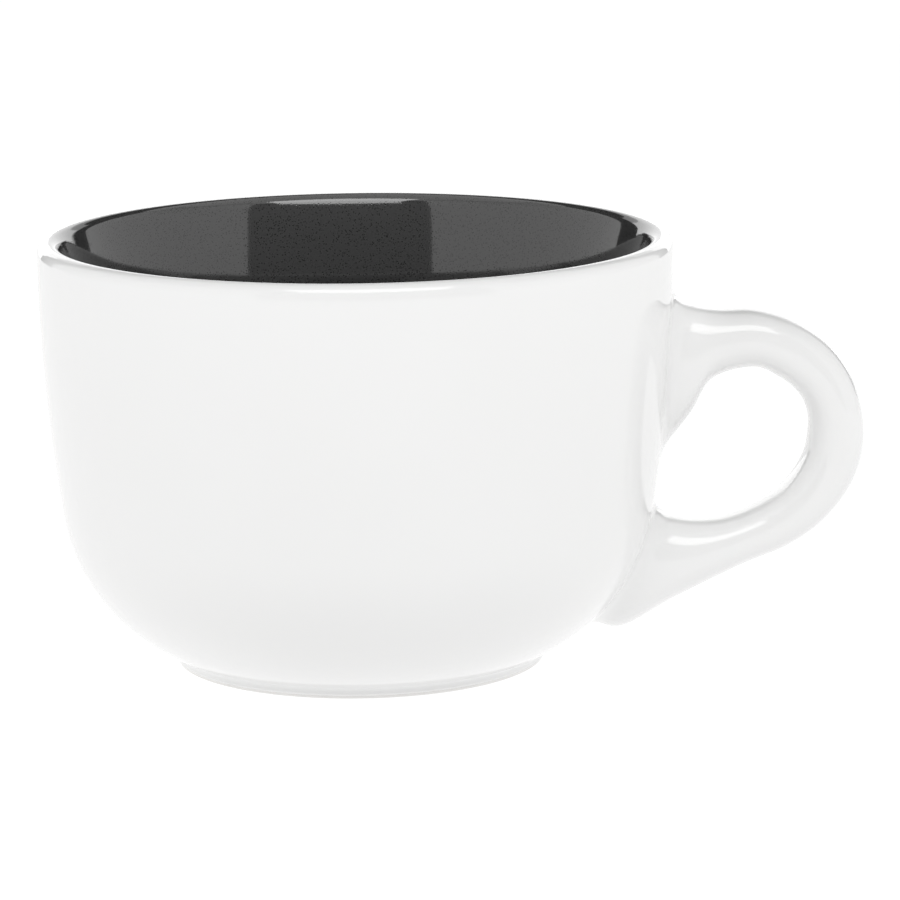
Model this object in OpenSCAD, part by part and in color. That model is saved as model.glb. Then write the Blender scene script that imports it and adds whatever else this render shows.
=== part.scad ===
// Cappuccino cup: a wide glazed mug with a loop handle, standing on a turned foot.
// Z is the axis of the cup, z = 0 is the table and the handle points along +X.
// The bowl and the handle are fired clay. Slip joins them, and glaze coats them:
// white outside, black inside. Only the face that the cup stands on is bare.

/* [Cup] */
// Outside diameter at the rim
rim_d = 108; // [96:1:120]
// Height of the rim's crest above the table
cup_h = 73.2; // [66:0.2:82]
// Thickness of the wall at the rim, glazes included
wall_t = 4; // [3.2:0.1:5]
// Thickness of the wall below the mouth, glazes included
body_t = 7.3; // [6:0.1:8.5]
// Radius of the curve that thins the wall from the inside, up to the rim
mouth_r = 60; // [45:1:90]
// Height of the floor inside the cup above the table
floor_z = 7.6; // [6.6:0.1:9]
// Radius of the slow outward curve of the wall
belly_r = 300; // [240:5:400]
// Radius of the turn from the wall to the foot, outside
heel_r = 31.5; // [27:0.5:34]
// Radius of the turn from the wall to the floor, inside
corner_r = 24; // [18:0.5:27]

/* [Foot] */
// Outside diameter of the foot ring
foot_d = 64; // [56:0.5:68]
// Height at which the side of the foot ring would meet the heel
foot_h = 1.9; // [1.7:0.1:3]
// Width of the foot ring, glazes included
foot_w = 4.2; // [3.4:0.1:6]
// Height of the recess inside the foot ring
well_h = 3; // [2.6:0.1:3.8]
// Radius of the hollow between the foot ring and the heel
foot_fillet_r = 1.2; // [0.8:0.1:1.6]
// Radius of the two edges that the cup stands on
foot_edge_r = 0.4; // [0.3:0.1:0.5]
// Radius of the corner in the recess
well_corner_r = 1.6; // [0.9:0.1:1.7]
// Height of the bare clay above the table
bare_h = 0.6; // [0.5:0.1:0.9]

/* [Handle] */
// How far the handle stands out from the rim
handle_reach = 32.8; // [28:0.2:38]
// Height of the top of the handle above the table
handle_top_z = 60; // [56:0.5:62]
// Height above the table at which the handle's tail meets the wall
handle_tail_z = 7; // [6:0.5:10]
// Width of the handle across its arm
handle_w = 14; // [11:0.5:17]

/* [Clay and glaze] */
// Thickness of each coat of glaze
glaze_t = 0.4; // [0.3:0.05:0.6]
// Thickness of the slip that joins the handle to the wall
slip_t = 0.6; // [0.5:0.05:1]

/* [Hidden] */

clay_colour = "AntiqueWhite";
slip_colour = "Bisque";
white_glaze_colour = "White";
black_glaze_colour = "#1c1c1d";

// Flat steps on a long arc, on a short arc and round the cup
long_steps = 14;
short_steps = 7;
around = 180;
// Points closer together than this count as one
least_step = glaze_t / 100;

// The rim is a half circle on top of the wall
rim_r = rim_d / 2;
lip_r = wall_t / 2;
lip_centre = [rim_r - lip_r, cup_h - lip_r];
belly_centre = [rim_r - belly_r, lip_centre.y];

// The heel's circle touches the belly's circle and passes through the top of the foot
foot_r = foot_d / 2;
foot_top = [foot_r, foot_h];
foot_away = norm(foot_top - belly_centre);
foot_dir = (foot_top - belly_centre) / foot_away;
along = (pow(foot_away, 2) + pow(belly_r - heel_r, 2) - pow(heel_r, 2)) / (2 * foot_away);
aside = sqrt(pow(belly_r - heel_r, 2) - pow(along, 2));
heel_centre = belly_centre + along * foot_dir + aside * [-foot_dir.y, foot_dir.x];
heel_tilt = tilt_of(heel_centre);
heel_z = heel_centre.y - heel_r * sin(heel_tilt);

// The hollow above the foot touches the foot's side and the heel
hollow_x = foot_r + foot_fillet_r;
hollow_drop = sqrt(pow(heel_r + foot_fillet_r, 2) - pow(hollow_x - heel_centre.x, 2));
hollow_centre = [hollow_x, heel_centre.y - hollow_drop];
hollow_tilt = acos((hollow_x - heel_centre.x) / (heel_r + foot_fillet_r));

// Inside, the mouth's circle takes in the lip's circle and touches the belly's inner circle
inner_belly_r = belly_r - body_t;
mouth_away = inner_belly_r + mouth_r;
lip_away = belly_r - lip_r;
mouth_across = (pow(lip_away, 2) + pow(mouth_away, 2) - pow(mouth_r - lip_r, 2)) / (2 * lip_away);
mouth_drop = sqrt(pow(mouth_away, 2) - pow(mouth_across, 2));
mouth_centre = belly_centre + [mouth_across, -mouth_drop];
mouth_tilt = tilt_of(mouth_centre);
mouth_lean = atan2(mouth_drop, mouth_centre.x - lip_centre.x);

// The inside corner touches the floor and the inside of the wall
corner_z = floor_z + corner_r;
corner_rise = sqrt(pow(inner_belly_r - corner_r, 2) - pow(corner_z - belly_centre.y, 2));
corner_centre = [belly_centre.x + corner_rise, corner_z];
corner_tilt = tilt_of(corner_centre);

well_r = foot_r - foot_w;
well_centre = [well_r - well_corner_r, well_h - well_corner_r];

// Rings along each stretch of the handle, and sides around it
stretch_rings = 3;
handle_sides = 20;
// Squareness of the handle's section, where 2 is an ellipse
section_power = 2.5;
handle_h = handle_top_z - handle_tail_z;
// How deep the handle's ends are carried into the wall before they are cut off
root_depth = wall_t / 2;

// The handle's outline, from the upper root round to the lower one. Each row has the
// outer edge and the inner edge as shares of the reach past the rim and of the handle's
// height, then the width as a share of the arm's width.
arm_shares = [
    [0.12, 1.005, 0.076, 0.648, 1.06],
    [0.25, 0.994, 0.198, 0.77, 1.0],
    [0.44, 0.992, 0.41, 0.808, 1.0],
    [0.65, 0.95, 0.55, 0.775, 1.0],
    [0.83, 0.865, 0.655, 0.72, 1.0],
    [0.95, 0.745, 0.705, 0.655, 1.0],
    [1.0, 0.59, 0.71, 0.585, 1.0],
    [0.951, 0.442, 0.686, 0.51, 1.0],
    [0.803, 0.311, 0.603, 0.427, 1.0],
    [0.605, 0.222, 0.48, 0.366, 1.0],
    [0.345, 0.156, 0.29, 0.315, 1.02],
    [-0.015, 0.047, 0.11, 0.304, 1.1],
    [-0.291, -0.043, -0.05, 0.324, 1.25]
];
// Heights of the four places where the outline meets the wall, as shares of the height
root_shares = [1.043, 0.49, 0, 0.366];
// Width of the handle at its upper and lower roots, as shares of the arm's width
root_width_shares = [1.25, 1.45];
// Height that parts the upper root from the lower one
parting_z = handle_tail_z + handle_h * (root_shares[1] + root_shares[3]) / 2;

function tilt_of(centre) =
    atan2(belly_centre.y - centre.y, centre.x - belly_centre.x);

function arc(centre, r, from, to, steps) =
    [for (i = [0:steps]) centre + r * [cos(from + (to - from) * i / steps),
                                       sin(from + (to - from) * i / steps)]];

function reversed(points) = [for (i = [len(points) - 1:-1:0]) points[i]];

// Radius of the glazed wall at a height
function wall_r(z) =
    z > heel_z
        ? belly_centre.x + sqrt(pow(belly_r, 2) - pow(belly_centre.y - z, 2))
        : heel_centre.x + sqrt(max(0, pow(heel_r, 2) - pow(heel_centre.y - z, 2)));

// The outside from a height on the foot to the crest, sunk by inset into the clay
function outside(inset, from_z) = concat(
    [[foot_r - inset, from_z]],
    arc(hollow_centre, foot_fillet_r + inset, 180, 180 - hollow_tilt, short_steps),
    arc(heel_centre, heel_r - inset, -hollow_tilt, -heel_tilt, long_steps),
    arc(belly_centre, belly_r - inset, -heel_tilt, 0, long_steps),
    arc(lip_centre, lip_r - inset, 0, 90, short_steps));

// The inside from the crest to the middle of the floor
function inside(inset) = concat(
    arc(lip_centre, lip_r - inset, 90, 180 - mouth_lean, short_steps),
    arc(mouth_centre, mouth_r - inset, 180 - mouth_lean, 180 - mouth_tilt, short_steps),
    arc(belly_centre, inner_belly_r + inset, -mouth_tilt, -corner_tilt, long_steps),
    arc(corner_centre, corner_r + inset, -corner_tilt, -90, long_steps),
    [[0, floor_z - inset]]);

// The recess from its middle to a height on the foot
function well(inset, to_z) = concat(
    [[0, well_h + inset]],
    arc(well_centre, well_corner_r + inset, 90, 0, short_steps),
    [[well_r + inset, to_z]]);

// The bare ring that the cup stands on, from its inner side to its outer side
function standing_edge(inset) = concat(
    arc([well_r + inset + foot_edge_r, foot_edge_r], foot_edge_r, 180, 270, short_steps),
    arc([foot_r - inset - foot_edge_r, foot_edge_r], foot_edge_r, 270, 360, short_steps));

// A closed outline turned about the cup's axis, without points that fall together
module turned(points) {
    kept = [for (i = [0:len(points) - 1])
        if (i == 0 || norm(points[i] - points[max(i - 1, 0)]) > least_step) points[i]];
    rotate_extrude($fn = around) polygon(kept);
}

// Everything inside the wall's outer surface, as a solid to cut the handle against
module wall_block(inset) {
    turned(concat([[0, 0]], outside(inset, 0), [[0, lip_centre.y + lip_r - inset]]));
}

// Places on the handle's outline in millimetres: outer edge, inner edge and half width
function arm_row(row) = [
    rim_r + handle_reach * row[0], handle_tail_z + handle_h * row[1],
    rim_r + handle_reach * row[2], handle_tail_z + handle_h * row[3],
    handle_w / 2 * row[4]];

function root_row(outer_share, inner_share, width_share) =
    let (outer_z = handle_tail_z + handle_h * outer_share,
         inner_z = handle_tail_z + handle_h * inner_share)
    [wall_r(outer_z) - root_depth, outer_z, wall_r(inner_z) - root_depth, inner_z,
     handle_w / 2 * width_share];

rows = concat(
    [root_row(root_shares[0], root_shares[1], root_width_shares[0])],
    [for (row = arm_shares) arm_row(row)],
    [root_row(root_shares[2], root_shares[3], root_width_shares[1])]);

// A smooth curve through the rows
function blend(a, b, c, d, t) =
    0.5 * (2 * b + (c - a) * t + (2 * a - 5 * b + 4 * c - d) * t * t
           + (3 * b - a - 3 * c + d) * t * t * t);

function row_at(i, t) =
    blend(rows[max(i - 1, 0)], rows[i], rows[i + 1], rows[min(i + 2, len(rows) - 1)], t);

stations = concat(
    [for (i = [0:len(rows) - 2]) for (k = [0:stretch_rings - 1]) row_at(i, k / stretch_rings)],
    [rows[len(rows) - 1]]);

function power_of(value, power) = sign(value) * pow(abs(value), power);

// One rounded section, sunk by inset, in the plane of its own outer and inner edge
function section(row, inset) =
    let (outer = [row[0], 0, row[1]],
         inner = [row[2], 0, row[3]],
         middle = (outer + inner) / 2,
         deep = norm(outer - inner) / 2 - inset,
         out = (outer - inner) / norm(outer - inner),
         half = row[4] - inset)
    [for (k = [0:handle_sides - 1])
        let (a = 360 * k / handle_sides)
        middle + out * deep * power_of(cos(a), 2 / section_power)
            + [0, half * power_of(sin(a), 2 / section_power), 0]];

module arm(inset) {
    n = handle_sides;
    last = len(stations) - 1;
    points = [for (row = stations) each section(row, inset)];
    walls = [for (i = [0:last - 1]) for (k = [0:n - 1]) each [
        [i * n + k, i * n + (k + 1) % n, (i + 1) * n + (k + 1) % n],
        [i * n + k, (i + 1) * n + (k + 1) % n, (i + 1) * n + k]]];
    start = [for (k = [n - 1:-1:0]) k];
    end = [for (k = [0:n - 1]) last * n + k];
    polyhedron(points, concat(walls, [start, end]), convexity = 6);
}

module bowl() {
    color(clay_colour)
        turned(concat(well(glaze_t, foot_edge_r), standing_edge(glaze_t),
            outside(glaze_t, foot_edge_r), inside(glaze_t)));
}

module handle() {
    color(clay_colour) difference() {
        arm(glaze_t);
        wall_block(glaze_t - slip_t);
    }
}

// The slip fills the gap between the clay wall and one end of the handle
module slip_joint(low_z, high_z) {
    color(slip_colour) intersection() {
        arm(glaze_t);
        turned(concat(outside(glaze_t - slip_t, bare_h), reversed(outside(glaze_t, bare_h))));
        translate([0, 0, low_z]) cylinder(h = high_z - low_z, r = rim_d, $fn = around);
    }
}

module upper_slip_joint() {
    slip_joint(parting_z, cup_h);
}

module lower_slip_joint() {
    slip_joint(0, parting_z);
}

// The white coat of the bowl stops short of the table and leaves room for the handle
module outer_glaze() {
    color(white_glaze_colour) difference() {
        turned(concat(outside(0, bare_h), reversed(outside(glaze_t, bare_h))));
        arm(glaze_t);
    }
}

module handle_glaze() {
    color(white_glaze_colour) difference() {
        arm(0);
        arm(glaze_t);
        wall_block(0);
    }
}

// The black coat runs from the crest of the rim down to the floor
module inner_glaze() {
    color(black_glaze_colour)
        turned(concat(inside(0), reversed(inside(glaze_t))));
}

module foot_well_glaze() {
    color(white_glaze_colour)
        turned(concat(well(0, bare_h), reversed(well(glaze_t, bare_h))));
}

bowl();
handle();
upper_slip_joint();
lower_slip_joint();
outer_glaze();
handle_glaze();
inner_glaze();
foot_well_glaze();
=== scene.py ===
# %% [markdown]
# # A glazed cappuccino cup
#
# The real cup is a turned clay bowl with a cast loop handle. Slip welds the handle to the wall, and glaze coats
# everything but the ring that the cup stands on: gloss white outside, gloss black inside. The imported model
# already holds these solids at their real size. Each cell below makes the smooth, finished form of one of them
# in the same place, so nothing is moved or fitted afterwards.

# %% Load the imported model
import math
import bmesh
import bpy
from mathutils import Matrix, Vector


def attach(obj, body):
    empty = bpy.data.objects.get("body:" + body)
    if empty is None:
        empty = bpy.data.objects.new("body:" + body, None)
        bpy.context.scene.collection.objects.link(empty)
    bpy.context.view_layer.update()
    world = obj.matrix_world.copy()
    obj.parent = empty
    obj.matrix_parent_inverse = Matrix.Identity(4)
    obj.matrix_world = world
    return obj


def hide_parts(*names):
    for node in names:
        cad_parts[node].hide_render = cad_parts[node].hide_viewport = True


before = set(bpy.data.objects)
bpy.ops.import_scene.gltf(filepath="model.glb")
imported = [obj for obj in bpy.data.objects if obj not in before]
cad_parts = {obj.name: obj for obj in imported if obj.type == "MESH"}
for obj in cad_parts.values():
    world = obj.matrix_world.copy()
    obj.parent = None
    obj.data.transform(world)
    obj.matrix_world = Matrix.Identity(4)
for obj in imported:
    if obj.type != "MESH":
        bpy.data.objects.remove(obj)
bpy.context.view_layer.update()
print("solids in the frame:", sorted(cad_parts))

# %% [markdown]
# ## The sizes that everything follows
#
# A cup is drawn as half of its section: points that give a distance from the axis and a height. A potter's rib
# works in smooth sweeps, so the section is a few arcs that touch each other. These are the same sizes as in
# the solid model, in metres.

# %% Driving sizes
MM = 0.001
RIM_R = 54 * MM
CUP_H = 73.2 * MM
WALL_T = 4 * MM
BODY_T = 7.3 * MM
MOUTH_R = 60 * MM
FLOOR_Z = 7.6 * MM
BELLY_R = 300 * MM
HEEL_R = 31.5 * MM
CORNER_R = 24 * MM
FOOT_R = 32 * MM
FOOT_H = 1.9 * MM
FOOT_W = 4.2 * MM
HOLLOW_R = 1.2 * MM
FOOT_EDGE_R = 0.4 * MM
WELL_H = 3 * MM
WELL_CORNER_R = 1.6 * MM
BARE_H = 0.6 * MM
GLAZE_T = 0.4 * MM
LIP_R = WALL_T / 2

# %% Where the arcs of the section meet
LIP = Vector((RIM_R - LIP_R, CUP_H - LIP_R))
BELLY = Vector((RIM_R - BELLY_R, LIP.y))


def tilt_of(centre):
    """Degrees that the line from the belly's centre to another arc's centre points down."""
    return math.degrees(math.atan2(BELLY.y - centre.y, centre.x - BELLY.x))


def heel_centre():
    """Centre of the heel's arc, which touches the belly's arc and passes through the top of the foot."""
    reach = Vector((FOOT_R, FOOT_H)) - BELLY
    away = reach.length
    across = BELLY_R - HEEL_R
    along = (away ** 2 + across ** 2 - HEEL_R ** 2) / (2 * away)
    aside = math.sqrt(across ** 2 - along ** 2)
    ahead = reach / away
    return BELLY + along * ahead + aside * Vector((-ahead.y, ahead.x))


HEEL = heel_centre()
HEEL_TILT = tilt_of(HEEL)
HEEL_Z = HEEL.y - HEEL_R * math.sin(math.radians(HEEL_TILT))
hollow_x = FOOT_R + HOLLOW_R
hollow_cos = (hollow_x - HEEL.x) / (HEEL_R + HOLLOW_R)
HOLLOW_TILT = math.degrees(math.acos(hollow_cos))
HOLLOW = Vector((hollow_x, HEEL.y - (HEEL_R + HOLLOW_R) * math.sqrt(1 - hollow_cos ** 2)))
INNER_BELLY_R = BELLY_R - BODY_T
mouth_away = INNER_BELLY_R + MOUTH_R
lip_away = BELLY_R - LIP_R
mouth_across = (lip_away ** 2 + mouth_away ** 2 - (MOUTH_R - LIP_R) ** 2) / (2 * lip_away)
MOUTH = BELLY + Vector((mouth_across, -math.sqrt(mouth_away ** 2 - mouth_across ** 2)))
MOUTH_TILT = tilt_of(MOUTH)
MOUTH_LEAN = math.degrees(math.atan2(LIP.y - MOUTH.y, MOUTH.x - LIP.x))
corner_z = FLOOR_Z + CORNER_R
corner_rise = math.sqrt((INNER_BELLY_R - CORNER_R) ** 2 - (corner_z - BELLY.y) ** 2)
CORNER = Vector((BELLY.x + corner_rise, corner_z))
CORNER_TILT = tilt_of(CORNER)
WELL_R = FOOT_R - FOOT_W
WELL = Vector((WELL_R - WELL_CORNER_R, WELL_H - WELL_CORNER_R))
print(f"the wall turns into the heel {HEEL_Z / MM:.1f} mm above the table")

# %% [markdown]
# ## Turned pieces
#
# Bowl and glazes are all turned about one axis, so each is a closed outline that the spin operator carries once
# round. A full spin closes on itself with use_merge. Where the outline touches the axis, the copies of its end
# fall on one point, and removing doubles closes the pole. The normals are recalculated after that.

# %% Helpers for outlines and turned pieces
ARC_STEPS = 22
SMALL_ARC_STEPS = 10
TURN_STEPS = 256
TOUCH = 1e-6
SMOOTH_UP_TO = math.radians(42)


def arc(centre, radius, start, end, steps):
    """Points along an arc, its angles in degrees."""
    angles = [math.radians(start + (end - start) * i / steps) for i in range(steps + 1)]
    return [centre + radius * Vector((math.cos(a), math.sin(a))) for a in angles]


def outside(inset, from_z):
    """The outside from a height on the foot to the crest, sunk by inset."""
    return [Vector((FOOT_R - inset, from_z)),
            *arc(HOLLOW, HOLLOW_R + inset, 180, 180 - HOLLOW_TILT, SMALL_ARC_STEPS),
            *arc(HEEL, HEEL_R - inset, -HOLLOW_TILT, -HEEL_TILT, ARC_STEPS)[1:],
            *arc(BELLY, BELLY_R - inset, -HEEL_TILT, 0, ARC_STEPS)[1:],
            *arc(LIP, LIP_R - inset, 0, 90, SMALL_ARC_STEPS)[1:]]


def inside(inset):
    """The inside from the crest down to the middle of the floor."""
    return [*arc(LIP, LIP_R - inset, 90, 180 - MOUTH_LEAN, SMALL_ARC_STEPS),
            *arc(MOUTH, MOUTH_R - inset, 180 - MOUTH_LEAN, 180 - MOUTH_TILT, ARC_STEPS)[1:],
            *arc(BELLY, INNER_BELLY_R + inset, -MOUTH_TILT, -CORNER_TILT, ARC_STEPS)[1:],
            *arc(CORNER, CORNER_R + inset, -CORNER_TILT, -90, ARC_STEPS)[1:],
            Vector((0, FLOOR_Z - inset))]


def well(inset, to_z):
    """The recess from the middle of its ceiling down to a height on the foot."""
    return [Vector((0, WELL_H + inset)),
            *arc(WELL, WELL_CORNER_R + inset, 90, 0, SMALL_ARC_STEPS),
            Vector((WELL_R + inset, to_z))]


def finished(name, bm):
    """Makes an object of a bmesh, smooth but for its true corners, riding on the one body."""
    mesh = bpy.data.meshes.new(name)
    bm.to_mesh(mesh)
    bm.free()
    mesh.shade_smooth()
    mesh.set_sharp_from_angle(angle=SMOOTH_UP_TO)
    piece = bpy.data.objects.new(name, mesh)
    bpy.context.scene.collection.objects.link(piece)
    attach(piece, "root")
    print(f"{name}: {len(mesh.polygons)} faces")
    return piece


def turned(name, outline):
    """Spins a closed outline once about the axis."""
    bm = bmesh.new()
    verts = [bm.verts.new((max(p.x, 0), 0, p.y)) for p in outline]
    pairs = zip(verts, verts[1:] + verts[:1])
    edges = [bm.edges.new((a, b)) for a, b in pairs if max(a.co.x, b.co.x) > TOUCH]
    bmesh.ops.spin(bm, geom=verts + edges, cent=(0, 0, 0), axis=(0, 0, 1), angle=math.tau,
                   steps=TURN_STEPS, use_merge=True)
    bmesh.ops.remove_doubles(bm, verts=bm.verts, dist=TOUCH)
    bmesh.ops.recalc_face_normals(bm, faces=bm.faces)
    return finished(name, bm)


# %% [markdown]
# ## The clay bowl
#
# The bowl is wall, floor and foot ring in one. Nearly all of it is under glaze. It shows only at the foot,
# where the glaze was wiped away so that the cup wouldn't stick to the kiln shelf.

# %% Turn the bowl
standing_edge = [
    *arc(Vector((WELL_R + GLAZE_T + FOOT_EDGE_R, FOOT_EDGE_R)), FOOT_EDGE_R, 180, 270, SMALL_ARC_STEPS),
    *arc(Vector((FOOT_R - GLAZE_T - FOOT_EDGE_R, FOOT_EDGE_R)), FOOT_EDGE_R, 270, 360, SMALL_ARC_STEPS)]
bowl = turned("clay_bowl", well(GLAZE_T, FOOT_EDGE_R)[:-1] + standing_edge
              + outside(GLAZE_T, FOOT_EDGE_R)[1:] + inside(GLAZE_T)[1:])
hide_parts("bowl")

# %% [markdown]
# ## The glaze on the bowl
#
# Each coat is a thin closed shell: its outer face is the cup's real surface and its back lies on the clay. At
# the foot the coat ends in a small rounded bead, as melted glaze does where it was wiped.

# %% Turn the three coats
bead = arc(Vector((FOOT_R - GLAZE_T, BARE_H + GLAZE_T)), GLAZE_T, 270, 360, SMALL_ARC_STEPS)
white_coat = turned("white_coat", bead + outside(0, BARE_H)[1:] + outside(GLAZE_T, BARE_H)[:0:-1])
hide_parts("outer_glaze")

black_lining = turned("black_lining", inside(0) + inside(GLAZE_T)[::-1])
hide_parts("inner_glaze")

well_bead = arc(Vector((WELL_R + GLAZE_T, BARE_H + GLAZE_T)), GLAZE_T, 180, 270, SMALL_ARC_STEPS)
well_coat = turned("foot_well_coat", well(0, BARE_H)[:-1] + well_bead + well(GLAZE_T, BARE_H)[-2::-1])
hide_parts("foot_well_glaze")

# %% [markdown]
# ## The handle
#
# The handle was cast in a mould, so its section changes smoothly along the loop: a rounded oval on the arm
# that spreads out at both roots. It is drawn by a few rows, each with the outer edge, the inner edge and the
# width, as shares of the handle's size. A smooth curve runs through the rows, and a ring of points stands at
# each step.

# %% The handle's rows
HANDLE_REACH = 32.8 * MM
HANDLE_TOP_Z = 60 * MM
HANDLE_TAIL_Z = 7 * MM
HANDLE_W = 14 * MM
HANDLE_H = HANDLE_TOP_Z - HANDLE_TAIL_Z
SECTION_POWER = 2.5
ROOT_DEPTH = WALL_T / 2
ARM_SHARES = [
    (0.12, 1.005, 0.076, 0.648, 1.06),
    (0.25, 0.994, 0.198, 0.77, 1.0),
    (0.44, 0.992, 0.41, 0.808, 1.0),
    (0.65, 0.95, 0.55, 0.775, 1.0),
    (0.83, 0.865, 0.655, 0.72, 1.0),
    (0.95, 0.745, 0.705, 0.655, 1.0),
    (1.0, 0.59, 0.71, 0.585, 1.0),
    (0.951, 0.442, 0.686, 0.51, 1.0),
    (0.803, 0.311, 0.603, 0.427, 1.0),
    (0.605, 0.222, 0.48, 0.366, 1.0),
    (0.345, 0.156, 0.29, 0.315, 1.02),
    (-0.015, 0.047, 0.11, 0.304, 1.1),
    (-0.291, -0.043, -0.05, 0.324, 1.25)]
ROOT_SHARES = (1.043, 0.49, 0, 0.366)
ROOT_WIDTH_SHARES = (1.25, 1.45)


def wall_r(z):
    """Radius of the glazed wall at a height."""
    if z > HEEL_Z:
        return BELLY.x + math.sqrt(BELLY_R ** 2 - (BELLY.y - z) ** 2)
    return HEEL.x + math.sqrt(max(0, HEEL_R ** 2 - (HEEL.y - z) ** 2))


def arm_row(outer_x, outer_z, inner_x, inner_z, width):
    """One row of the table in metres: outer edge, inner edge and half the width."""
    return (RIM_R + HANDLE_REACH * outer_x, HANDLE_TAIL_Z + HANDLE_H * outer_z,
            RIM_R + HANDLE_REACH * inner_x, HANDLE_TAIL_Z + HANDLE_H * inner_z, HANDLE_W / 2 * width)


def root_row(outer_share, inner_share, width):
    """The row where the handle ends inside the wall."""
    outer_z = HANDLE_TAIL_Z + HANDLE_H * outer_share
    inner_z = HANDLE_TAIL_Z + HANDLE_H * inner_share
    return (wall_r(outer_z) - ROOT_DEPTH, outer_z, wall_r(inner_z) - ROOT_DEPTH, inner_z,
            HANDLE_W / 2 * width)


ROWS = [root_row(*ROOT_SHARES[:2], ROOT_WIDTH_SHARES[0]),
        *[arm_row(*row) for row in ARM_SHARES],
        root_row(*ROOT_SHARES[2:], ROOT_WIDTH_SHARES[1])]
LAST_ROW = len(ROWS) - 1
print(f"the handle runs through {len(ROWS)} rows")

# %% Points on the handle's skin
SIDES = 64


def blend(a, b, c, d, t):
    """A smooth step from b to c that heads on from a and towards d."""
    return 0.5 * (2 * b + (c - a) * t + (2 * a - 5 * b + 4 * c - d) * t ** 2
                  + (3 * b - a - 3 * c + d) * t ** 3)


def row_at(t):
    """The row at a place along the handle, where whole numbers are the rows themselves."""
    i = min(int(t), LAST_ROW - 1)
    near = [ROWS[max(i - 1, 0)], ROWS[i], ROWS[i + 1], ROWS[min(i + 2, LAST_ROW)]]
    return [blend(*values, t - i) for values in zip(*near)]


def power_of(value, power):
    """A power that keeps the sign, which squares a circle up a little."""
    return math.copysign(abs(value) ** power, value)


def skin_point(t, side):
    """A point on the glazed handle: a place along it and a side, counted round the section."""
    outer_x, outer_z, inner_x, inner_z, half_w = row_at(t)
    outer, inner = Vector((outer_x, 0, outer_z)), Vector((inner_x, 0, inner_z))
    a = math.tau * side / SIDES
    out = (outer - inner) / 2
    return ((outer + inner) / 2 + out * power_of(math.cos(a), 2 / SECTION_POWER)
            + Vector((0, half_w * power_of(math.sin(a), 2 / SECTION_POWER), 0)))


# %% [markdown]
# ## Where the handle meets the wall
#
# The two clay parts meet in a sharp corner, but slip and glaze fill it to a soft hollow. For each side of the
# handle the place where it enters the wall is found by halving. From there the skin stops a little way up the
# arm, bends through the corner and runs out until it lies flat on the wall. There it turns straight in under
# the glaze and is closed, so that no edge shows.

# %% Find the corner and bend the skin through it
FILLET = 3.0 * MM
FILLET_RINGS = 9
TUCK = 0.35 * MM
HALVINGS = 40
NUDGE = 0.002


def clearance(point):
    """How far a point stands out from the wall, level with the table."""
    return math.hypot(point.x, point.y) - wall_r(point.z)


def corner_place(side, buried, free):
    """Place along the handle where one side of it enters the wall."""
    for _ in range(HALVINGS):
        middle = (buried + free) / 2
        if clearance(skin_point(middle, side)) < 0:
            buried = middle
        else:
            free = middle
    return free


def wall_normal(point):
    """Direction straight out of the wall at a point."""
    slope = (wall_r(point.z + TUCK) - wall_r(point.z - TUCK)) / (2 * TUCK)
    flat = Vector((point.x, point.y, 0)).normalized()
    return (flat - Vector((0, 0, slope))).normalized()


def on_wall(point, sunk):
    """The point moved level onto the wall, or under its surface."""
    flat = Vector((point.x, point.y, 0)).normalized()
    return flat * (wall_r(point.z) - sunk) + Vector((0, 0, point.z))


def root(buried, free):
    """For one end: where the arm takes over on each side, and the hollow's rings from wall to arm."""
    places = [corner_place(k, buried, free) for k in range(SIDES)]
    corners = [skin_point(places[k], k) for k in range(SIDES)]
    middle = sum(corners, Vector()) / SIDES
    heading = math.copysign(NUDGE, free - buried)
    starts, curves = [], []
    for k, corner in enumerate(corners):
        speed = (skin_point(places[k] + heading, k) - corner).length / NUDGE
        start = places[k] + math.copysign(FILLET / speed, heading)
        ahead = corners[(k + 1) % SIDES] - corners[k - 1]
        outward = ahead.cross(wall_normal(corner)).normalized()
        if outward.dot(corner - middle) < 0:
            outward.negate()
        foot = on_wall(corner + FILLET * outward, 0)
        tucked = on_wall(foot, TUCK)
        arm = skin_point(start, k)
        steps = [i / FILLET_RINGS for i in range(FILLET_RINGS)]
        bend = [foot * (1 - s) ** 2 + corner * 2 * s * (1 - s) + arm * s ** 2 for s in steps]
        curves.append([tucked] + bend)
        starts.append(start)
    return starts, list(zip(*curves))


# %% Loft the glazed handle
ARM_RINGS = 130


def loft(name, rings):
    """Extrudes a circle ring by ring through rings of points, and caps both ends."""
    bm = bmesh.new()
    ring = bmesh.ops.create_circle(bm, cap_ends=False, radius=RIM_R, segments=SIDES)["verts"]
    first = ring
    for number, places in enumerate(rings):
        if number:
            edges = [bm.edges.get((ring[k - 1], ring[k])) for k in range(SIDES)]
            grown = bmesh.ops.extrude_edge_only(bm, edges=edges)["geom"]
            new = {v for v in grown if isinstance(v, bmesh.types.BMVert)}
            ring = [next(e.other_vert(v) for e in v.link_edges if e.other_vert(v) in new) for v in ring]
        for vert, place in zip(ring, places):
            vert.co = place
    for end in (first, ring):
        bmesh.ops.contextual_create(bm, geom=[bm.edges.get((end[k - 1], end[k])) for k in range(SIDES)])
    bmesh.ops.recalc_face_normals(bm, faces=bm.faces)
    return finished(name, bm)


upper_starts, upper_bend = root(0, 1)
lower_starts, lower_bend = root(LAST_ROW, LAST_ROW - 1)
arm = [[skin_point(upper_starts[k] + (lower_starts[k] - upper_starts[k]) * i / ARM_RINGS, k)
        for k in range(SIDES)] for i in range(ARM_RINGS + 1)]
handle_coat = loft("handle_coat", upper_bend + arm + lower_bend[::-1])
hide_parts("handle_glaze")

# %% [markdown]
# ## Finishes
#
# Glaze is a layer of glass over clay. Its shape is nearly smooth, so what tells it from plastic is the sharp
# reflection with a slow, faint ripple in it. The ripple and the fine pits are shared by both glazes, so they
# are one node group with its own values in each material. The shader itself stays in the material.

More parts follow.
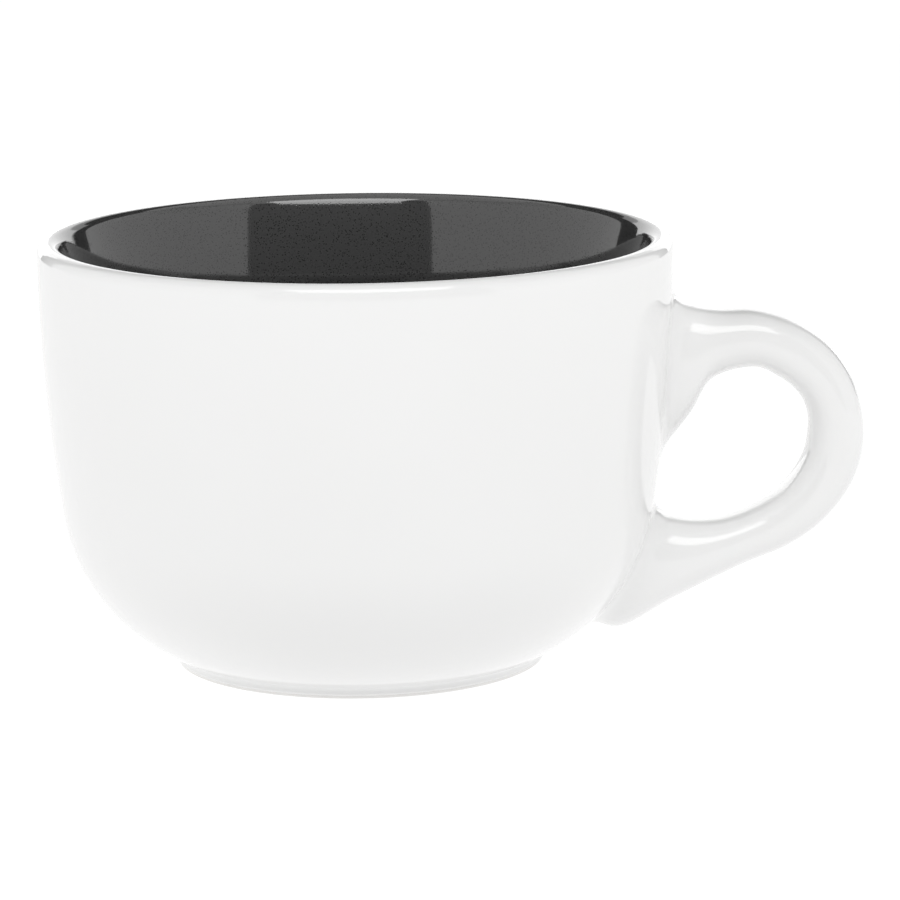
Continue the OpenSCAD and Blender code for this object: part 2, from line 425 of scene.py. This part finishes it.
# %% A node group for melted glass
RIPPLE_DETAIL = 1.5
CLOUD_SCALE, CLOUD_DETAIL = 28.0, 5.0
PIT_RIM, PIT_FLOOR = 0.42, 0.12


def socket(group, name, kind, way, value=None):
    """Adds a socket to a group, with its own value if one is given."""
    made = group.interface.new_socket(name=name, in_out=way, socket_type=kind)
    if value is not None:
        made.default_value = value


def build_glaze_group():
    """Ripple, pits and cloud of a glaze, from object coordinates."""
    group = bpy.data.node_groups.new("glaze_skin", "ShaderNodeTree")
    socket(group, "Vector", "NodeSocketVector", "INPUT")
    socket(group, "Ripple Scale", "NodeSocketFloat", "INPUT", 60.0)
    socket(group, "Pit Scale", "NodeSocketFloat", "INPUT", 1500.0)
    socket(group, "Pit Share", "NodeSocketFloat", "INPUT", 0.2)
    for name in ("Ripple", "Pits", "Cloud"):
        socket(group, name, "NodeSocketFloat", "OUTPUT")
    nodes, links = group.nodes, group.links
    enter, leave = nodes.new("NodeGroupInput"), nodes.new("NodeGroupOutput")
    ripple = nodes.new("ShaderNodeTexNoise")
    ripple.inputs["Detail"].default_value = RIPPLE_DETAIL
    links.new(enter.outputs["Vector"], ripple.inputs["Vector"])
    links.new(enter.outputs["Ripple Scale"], ripple.inputs["Scale"])
    links.new(ripple.outputs["Fac"], leave.inputs["Ripple"])
    cloud = nodes.new("ShaderNodeTexNoise")
    cloud.inputs["Scale"].default_value = CLOUD_SCALE
    cloud.inputs["Detail"].default_value = CLOUD_DETAIL
    links.new(enter.outputs["Vector"], cloud.inputs["Vector"])
    links.new(cloud.outputs["Fac"], leave.inputs["Cloud"])
    cells = nodes.new("ShaderNodeTexVoronoi")
    links.new(enter.outputs["Vector"], cells.inputs["Vector"])
    links.new(enter.outputs["Pit Scale"], cells.inputs["Scale"])
    hole = nodes.new("ShaderNodeMapRange")
    hole.interpolation_type = "SMOOTHSTEP"
    hole.inputs["From Min"].default_value = PIT_RIM
    hole.inputs["From Max"].default_value = PIT_FLOOR
    links.new(cells.outputs["Distance"], hole.inputs["Value"])
    chosen = nodes.new("ShaderNodeMath")
    chosen.operation = "LESS_THAN"
    parts = nodes.new("ShaderNodeSeparateColor")
    links.new(cells.outputs["Color"], parts.inputs["Color"])
    links.new(parts.outputs["Red"], chosen.inputs[0])
    links.new(enter.outputs["Pit Share"], chosen.inputs[1])
    pits = nodes.new("ShaderNodeMath")
    pits.operation = "MULTIPLY"
    links.new(hole.outputs["Result"], pits.inputs[0])
    links.new(chosen.outputs["Value"], pits.inputs[1])
    links.new(pits.outputs["Value"], leave.inputs["Pits"])
    return group


GLAZE_SKIN = build_glaze_group()
print(f"{GLAZE_SKIN.name}: {len(GLAZE_SKIN.nodes)} nodes")


# %% Helpers for materials
def plain_material(name):
    """An empty material and the parts to wire it."""
    material = bpy.data.materials.new(name)
    material.use_nodes = True
    nodes, links = material.node_tree.nodes, material.node_tree.links
    nodes.clear()
    return material, nodes, links, nodes.new("ShaderNodeOutputMaterial")


def new_material(name):
    """A material with only a Principled shader, and the parts to wire it."""
    material, nodes, links, out = plain_material(name)
    shader = nodes.new("ShaderNodeBsdfPrincipled")
    links.new(shader.outputs["BSDF"], out.inputs["Surface"])
    return material, nodes, links, shader, nodes.new("ShaderNodeTexCoord")


def mixed(nodes, links, factor, first, second):
    """A colour that goes from first, a colour or a node's output, to second as factor goes from 0 to 1."""
    mix = nodes.new("ShaderNodeMix")
    mix.data_type = "RGBA"
    if isinstance(first, tuple):
        mix.inputs["A"].default_value = (*first, 1)
    else:
        links.new(first, mix.inputs["A"])
    mix.inputs["B"].default_value = (*second, 1)
    links.new(factor, mix.inputs["Factor"])
    return mix.outputs["Result"]


def ranged(nodes, links, value, low, high):
    """A value from 0 to 1 carried to the range low to high."""
    step = nodes.new("ShaderNodeMapRange")
    step.inputs["To Min"].default_value = low
    step.inputs["To Max"].default_value = high
    links.new(value, step.inputs["Value"])
    return step.outputs["Result"]


def bump(nodes, links, height, distance, below=None):
    """A bump of a real height in metres, on top of another if one is given."""
    node = nodes.new("ShaderNodeBump")
    node.inputs["Distance"].default_value = distance
    links.new(height, node.inputs["Height"])
    if below is not None:
        links.new(below, node.inputs["Normal"])
    return node.outputs["Normal"]


def glaze(name, ior, ripple_scale, pit_scale, pit_share, first, second, pit_shade, rough, ripple_h, pit_h):
    """A glaze: two close colours, painted shade in its pits, a range of roughness, and both reliefs' real
    heights.
    """
    material, nodes, links, shader, place = new_material(name)
    skin = nodes.new("ShaderNodeGroup")
    skin.node_tree = GLAZE_SKIN
    skin.inputs["Ripple Scale"].default_value = ripple_scale
    skin.inputs["Pit Scale"].default_value = pit_scale
    skin.inputs["Pit Share"].default_value = pit_share
    links.new(place.outputs["Object"], skin.inputs["Vector"])
    even = mixed(nodes, links, skin.outputs["Cloud"], first, second)
    # Where there are pits, the colour goes to the pits' painted shade
    links.new(mixed(nodes, links, skin.outputs["Pits"], even, pit_shade), shader.inputs["Base Color"])
    links.new(ranged(nodes, links, skin.outputs["Cloud"], *rough), shader.inputs["Roughness"])
    wave = bump(nodes, links, skin.outputs["Ripple"], ripple_h)
    links.new(bump(nodes, links, skin.outputs["Pits"], -pit_h, below=wave), shader.inputs["Normal"])
    shader.inputs["IOR"].default_value = ior
    return material


# %% [markdown]
# The white glaze is thick and even: one near-white with a hint of cloud, a sharp shine, and a slow ripple a few
# hundredths of a millimetre high. The black one is denser glass, so it shines more. It took the kiln's bubbles:
# it is full of fine pits, which look darker because light that enters one hardly comes out. That darkness is
# painted shade: the black glaze colours its pits near-black. In the white glaze the pits keep the glaze's
# colour.

# %% The two glazes
WHITE_GLAZE = glaze("white_glaze", ior=1.5, ripple_scale=45.0, pit_scale=260.0, pit_share=0.015,
                    first=(0.84, 0.84, 0.835), second=(0.87, 0.87, 0.868), pit_shade=(0.855, 0.855, 0.85),
                    rough=(0.03, 0.05), ripple_h=0.03 * MM, pit_h=0.02 * MM)
# The black glaze's pits are painted near-black: painted shade for the light they swallow
BLACK_GLAZE = glaze("black_glaze", ior=1.8, ripple_scale=130.0, pit_scale=2400.0, pit_share=0.9,
                    first=(0.046, 0.046, 0.046), second=(0.058, 0.058, 0.058), pit_shade=(0.002, 0.002, 0.002),
                    rough=(0.04, 0.07), ripple_h=0.02 * MM, pit_h=0.002 * MM)
print("glazes:", WHITE_GLAZE.name, BLACK_GLAZE.name)

# %% [markdown]
# Fired clay is matte and slightly grainy. It shows as a thin ring at the foot and lies under the glaze
# elsewhere.

# %% The clay
GRAIN_SCALE, GRAIN_DETAIL, GRAIN_H = 2600.0, 6.0, 0.06 * MM
CLAY, nodes, links, shader, place = new_material("fired_clay")
grain = nodes.new("ShaderNodeTexNoise")
grain.inputs["Scale"].default_value = GRAIN_SCALE
grain.inputs["Detail"].default_value = GRAIN_DETAIL
links.new(place.outputs["Object"], grain.inputs["Vector"])
links.new(mixed(nodes, links, grain.outputs["Fac"], (0.83, 0.82, 0.80), (0.89, 0.88, 0.865)),
          shader.inputs["Base Color"])
links.new(ranged(nodes, links, grain.outputs["Fac"], 0.75, 0.95), shader.inputs["Roughness"])
links.new(bump(nodes, links, grain.outputs["Fac"], GRAIN_H), shader.inputs["Normal"])

# %% Give each piece its finish
for piece in (white_coat, well_coat, handle_coat):
    piece.data.materials.append(WHITE_GLAZE)
black_lining.data.materials.append(BLACK_GLAZE)
bowl.data.materials.append(CLAY)
for name in ("handle", "upper_slip_joint", "lower_slip_joint"):
    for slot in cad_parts[name].material_slots:
        slot.material = CLAY
print("materials:", sorted(material.name for material in bpy.data.materials))

# %% [markdown]
# ## Stage and light
#
# The cup stands on a white table that glows softly, so that its underside is as light as its side. The camera
# and the glaze's reflections see the table and the surroundings at full white. Gloss shows whatever stands
# around it, so the studio is a small booth: a big soft box high in front, a dark front wall behind the camera,
# open white sides with grey masks above them, and black card beside and above a lit backdrop. In the black
# glaze these are the two grey fields with their dark edges and the bright streak at the back. In the white
# glaze the soft box is the long highlight on the handle. A panel on each side adds light but shows in no gloss.

# %% White table
FLOOR_HALF = 6.0
FLOOR_GLOW = 0.95
FLOOR_GREY = 0.18
TABLE_LIGHT = 1.0


def staged(name, bm, material):
    """Makes a piece of the stage, which isn't part of the cup."""
    mesh = bpy.data.meshes.new(name)
    bm.to_mesh(mesh)
    bm.free()
    mesh.materials.append(material)
    piece = bpy.data.objects.new(name, mesh)
    bpy.context.scene.collection.objects.link(piece)
    return piece


def seen_directly(nodes, links):
    """1 for rays from the camera, off gloss or through glass, 0 for light that falls on the cup."""
    path = nodes.new("ShaderNodeLightPath")
    total = path.outputs["Is Camera Ray"]
    for kind in ("Is Glossy Ray", "Is Transmission Ray"):
        either = nodes.new("ShaderNodeMath")
        either.operation = "MAXIMUM"
        links.new(total, either.inputs[0])
        links.new(path.outputs[kind], either.inputs[1])
        total = either.outputs["Value"]
    return total


def diffuse(nodes, grey):
    """A matte shader of one grey."""
    matte = nodes.new("ShaderNodeBsdfDiffuse")
    matte.inputs["Color"].default_value = (grey, grey, grey, 1)
    return matte.outputs["BSDF"]


def card(name, grey):
    """Matte card of one grey."""
    material, nodes, links, out = plain_material(name)
    links.new(diffuse(nodes, grey), out.inputs["Surface"])
    return material


def glow(nodes, strength):
    """A white shader that shines by itself."""
    light = nodes.new("ShaderNodeEmission")
    light.inputs["Strength"].default_value = strength
    return light.outputs["Emission"]


WHITE_TABLE, nodes, links, out = plain_material("white_table")
seen = nodes.new("ShaderNodeAddShader")
links.new(diffuse(nodes, FLOOR_GREY), seen.inputs[0])
links.new(glow(nodes, FLOOR_GLOW), seen.inputs[1])
pick = nodes.new("ShaderNodeMixShader")
links.new(seen_directly(nodes, links), pick.inputs["Fac"])
links.new(glow(nodes, TABLE_LIGHT), pick.inputs[1])
links.new(seen.outputs["Shader"], pick.inputs[2])
links.new(pick.outputs["Shader"], out.inputs["Surface"])

bm = bmesh.new()
bmesh.ops.create_grid(bm, x_segments=1, y_segments=1, size=FLOOR_HALF)
staged("floor", bm, WHITE_TABLE)
print(f"the table reaches {FLOOR_HALF:.0f} m each way")

# %% White world
WORLD_LIGHT, WORLD_SEEN = 0.48, 1.0
world = bpy.data.worlds.new("studio")
bpy.context.scene.world = world
world.use_nodes = True
nodes, links = world.node_tree.nodes, world.node_tree.links
nodes.clear()
out = nodes.new("ShaderNodeOutputWorld")
pick = nodes.new("ShaderNodeMixShader")
links.new(seen_directly(nodes, links), pick.inputs["Fac"])
for place, strength in ((1, WORLD_LIGHT), (2, WORLD_SEEN)):
    sky = nodes.new("ShaderNodeBackground")
    sky.inputs["Strength"].default_value = strength
    links.new(sky.outputs["Background"], pick.inputs[place])
links.new(pick.outputs["Shader"], out.inputs["Surface"])
print(f"the world lights the cup at {WORLD_LIGHT} and is seen at {WORLD_SEEN}")

# %% Panels of light
CUP_MIDDLE = Vector((0, 0, 0.04))


def panel(name, place, size, radiance, look_at=CUP_MIDDLE):
    """A rectangular lamp turned to the cup, by how bright its face is: 1 shows as white."""
    lamp = bpy.data.lights.new(name, "AREA")
    lamp.shape = "RECTANGLE"
    lamp.size, lamp.size_y = size
    lamp.energy = radiance * math.pi * size[0] * size[1]
    box = bpy.data.objects.new(name, lamp)
    bpy.context.scene.collection.objects.link(box)
    box.location = place
    box.rotation_euler = (Vector(look_at) - Vector(place)).to_track_quat("-Z", "Y").to_euler()
    box.visible_camera = False
    print(f"{name}: {lamp.energy:.1f} W")
    return box


BOX_AWAY, BOX_TURN, BOX_UP = 1.0, math.radians(-83), math.radians(53.5)
BOX_SIZE, BOX_RADIANCE = (0.78, 0.59), 3.3
SIDE_Z, SIDE_H, SIDE_RADIANCE = 0.45, 0.9, 0.8
SIDE_PANELS = [("right_panel", 0.75, 0.05, 1.4, 0.05), ("left_panel", -0.747, -0.065, 1.77, 0)]
BACK_AWAY, BACK_Z, BACK_SIZE, BACK_RADIANCE = 1.6, 0.35, (1.8, 0.7), 0.9

box_place = BOX_AWAY * Vector((math.cos(BOX_UP) * math.cos(BOX_TURN),
                               math.cos(BOX_UP) * math.sin(BOX_TURN), math.sin(BOX_UP)))
panel("front_box", box_place, BOX_SIZE, BOX_RADIANCE)
for name, x, y, width, aim_y in SIDE_PANELS:
    lamp = panel(name, (x, y, SIDE_Z), (width, SIDE_H), SIDE_RADIANCE, look_at=(0, aim_y, SIDE_Z))
    lamp.visible_glossy = False
panel("back_panel", (0, BACK_AWAY, BACK_Z), BACK_SIZE, BACK_RADIANCE, look_at=(0, 0, BACK_Z))

# %% [markdown]
# The booth's walls are strips of a cylinder round the cup, each spun from one upright edge. Only gloss sees
# them: the camera looks through, and they neither shade the cup nor light it. The ceiling does the opposite: it
# isn't seen, but it keeps the light from above off the cup, which darkens the top of the handle.

# %% Walls and ceiling of the booth
BLACK_CARD, DARK_CARD, GREY_CARD = [card(name, grey) for name, grey in
                                    (("black_card", 0.01), ("dark_card", 0.14), ("grey_card", 0.8))]
BOOTH_H = 1.1
WALL_AWAY, GAP_AWAY, MASK_AWAY = 1.05, 1.0, 0.7
FRONT_MASK_UP, SIDE_MASK_UP, BACK_MASK_UP = 37, 34, 27
WALL_STEPS = 16
CEILING_HALF, CEILING_FRONT, CEILING_BACK = 1.05, -1.05, 2.04
# Where each wall starts, in degrees counted from the handle towards the far side
FRONT_START, RIGHT_START, RIGHT_GAP_START = -124, -42, 48
BACK_START, LEFT_GAP_START, LEFT_START, LEFT_END = 60, 118, 134, 360 + FRONT_START


def height_at(away, up):
    """Height of a place that stands so many degrees above the rim, seen from the cup's axis."""
    return CUP_H + away * math.tan(math.radians(up))


def booth_wall(name, material, away, start, end, low_z=0, high_z=BOOTH_H):
    """An upright strip about the cup, from one bearing to another in degrees."""
    bm = bmesh.new()
    across = Matrix.Rotation(math.radians(start), 3, "Z") @ Vector((away, 0, 0))
    ends = [bm.verts.new((across.x, across.y, z)) for z in (low_z, high_z)]
    bmesh.ops.spin(bm, geom=[*ends, bm.edges.new(ends)], cent=(0, 0, 0), axis=(0, 0, 1),
                   angle=math.radians(end - start), steps=WALL_STEPS)
    wall = staged(name, bm, material)
    wall.visible_camera = wall.visible_diffuse = wall.visible_shadow = False
    print(f"{name}: from {start} to {end} degrees, {low_z:.2f} to {high_z:.2f} m high")


side_z = height_at(MASK_AWAY, SIDE_MASK_UP)
booth_wall("front_wall", DARK_CARD, WALL_AWAY, FRONT_START, RIGHT_START)
booth_wall("front_mask", DARK_CARD, MASK_AWAY, FRONT_START, RIGHT_START,
           high_z=height_at(MASK_AWAY, FRONT_MASK_UP))
booth_wall("right_mask", GREY_CARD, MASK_AWAY, RIGHT_START, RIGHT_GAP_START, low_z=side_z)
booth_wall("left_mask", GREY_CARD, MASK_AWAY, LEFT_START, LEFT_END, low_z=side_z)
booth_wall("back_mask", BLACK_CARD, GAP_AWAY, BACK_START, LEFT_GAP_START,
           low_z=height_at(GAP_AWAY, BACK_MASK_UP))
booth_wall("right_gap", BLACK_CARD, GAP_AWAY, RIGHT_GAP_START, BACK_START)
booth_wall("left_gap", BLACK_CARD, GAP_AWAY, LEFT_GAP_START, LEFT_START)
bm = bmesh.new()
bmesh.ops.create_grid(bm, x_segments=1, y_segments=1, size=CEILING_HALF)
bmesh.ops.transform(bm, verts=bm.verts,
                    matrix=Matrix.Translation((0, (CEILING_FRONT + CEILING_BACK) / 2, BOOTH_H))
                    @ Matrix.Diagonal((1, (CEILING_BACK - CEILING_FRONT) / (2 * CEILING_HALF), 1, 1)))
ceiling = staged("ceiling", bm, BLACK_CARD)
ceiling.visible_camera = ceiling.visible_glossy = False

# %% [markdown]
# ## Camera
#
# The photograph was taken from a little above the rim, through a long lens. The camera's place and turn come
# from fitting both edges of the rim, the sides and the foot.

# %% Place the camera
CAMERA_PLACE = (0, -0.75764, 0.18613)
TURN_RIGHT, TILT_DOWN, ROLL = 0.0208, 0.1959, -0.0107
SENSOR_MM, LENS_MM, NEAREST = 36, 180, 10 * MM
camera_data = bpy.data.cameras.new("camera")
camera_data.sensor_width = SENSOR_MM
camera_data.lens = LENS_MM
camera_data.clip_start = NEAREST
camera = bpy.data.objects.new("camera", camera_data)
bpy.context.scene.collection.objects.link(camera)
camera.matrix_world = (Matrix.Translation(CAMERA_PLACE) @ Matrix.Rotation(-TURN_RIGHT, 4, "Z")
                       @ Matrix.Rotation(math.pi / 2 - TILT_DOWN, 4, "X") @ Matrix.Rotation(ROLL, 4, "Z"))
bpy.context.scene.camera = camera
bpy.context.scene.view_settings.view_transform = "Standard"
print(f"the camera looks down {math.degrees(TILT_DOWN):.1f} degrees")
